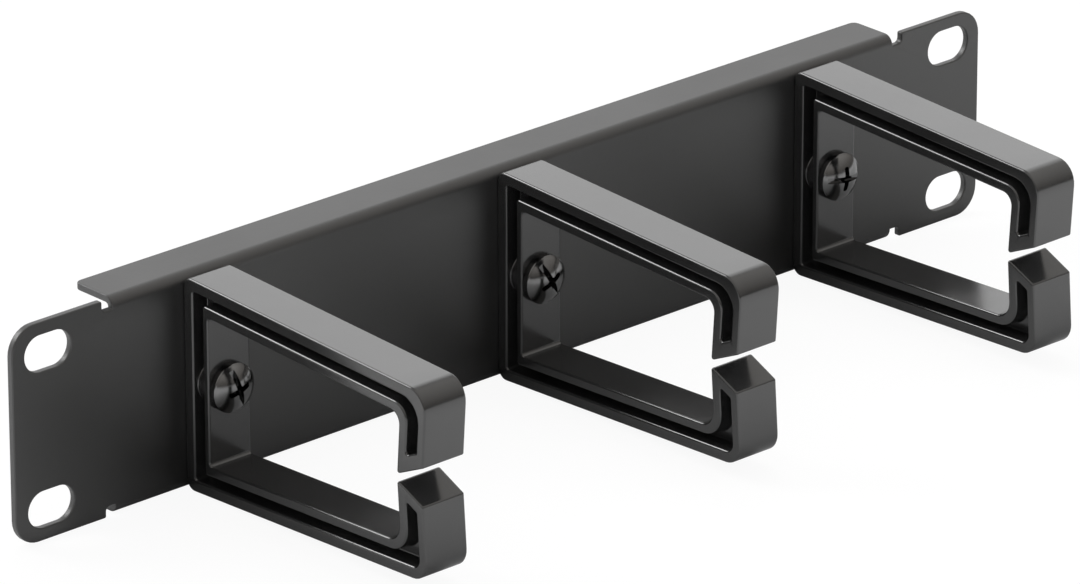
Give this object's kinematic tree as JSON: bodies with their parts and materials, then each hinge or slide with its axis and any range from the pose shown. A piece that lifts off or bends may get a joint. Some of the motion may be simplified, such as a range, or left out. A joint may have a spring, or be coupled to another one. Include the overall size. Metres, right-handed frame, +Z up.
{
  "type": "horizontal cable manager",
  "caption": "Folded black steel rack panel with moulded cable hooks along its front, each a split loop that holds patch cables level in a narrow rack.",
  "frame": {"origin": "centre of the four rack slots, on the mounting face at the back of the ears", "axes": "+X along the panel to the right as seen from the front, +Z up, -Y forwards, the way the hooks reach"},
  "size_m": [0.254, 0.0801, 0.0444],
  "materials": {
    "panel_paint": "satin black powder coat, very fine texture",
    "hook_plastic": "semi-gloss black moulded plastic",
    "screw_metal": "glossy black-plated steel",
    "zinc_metal": "bright zinc-plated steel"
  },
  "bodies": {
    "root": {"rack_panel": "panel_paint", "cable_hook_left": "hook_plastic", "cable_hook_centre": "hook_plastic", "cable_hook_right": "hook_plastic", "hook_screw_left": "screw_metal", "hook_screw_centre": "screw_metal", "hook_screw_right": "screw_metal", "hook_washer_left": "zinc_metal", "hook_washer_centre": "zinc_metal", "hook_washer_right": "zinc_metal", "hook_nut_left": "zinc_metal", "hook_nut_centre": "zinc_metal", "hook_nut_right": "zinc_metal"}
  },
  "joints": []
}
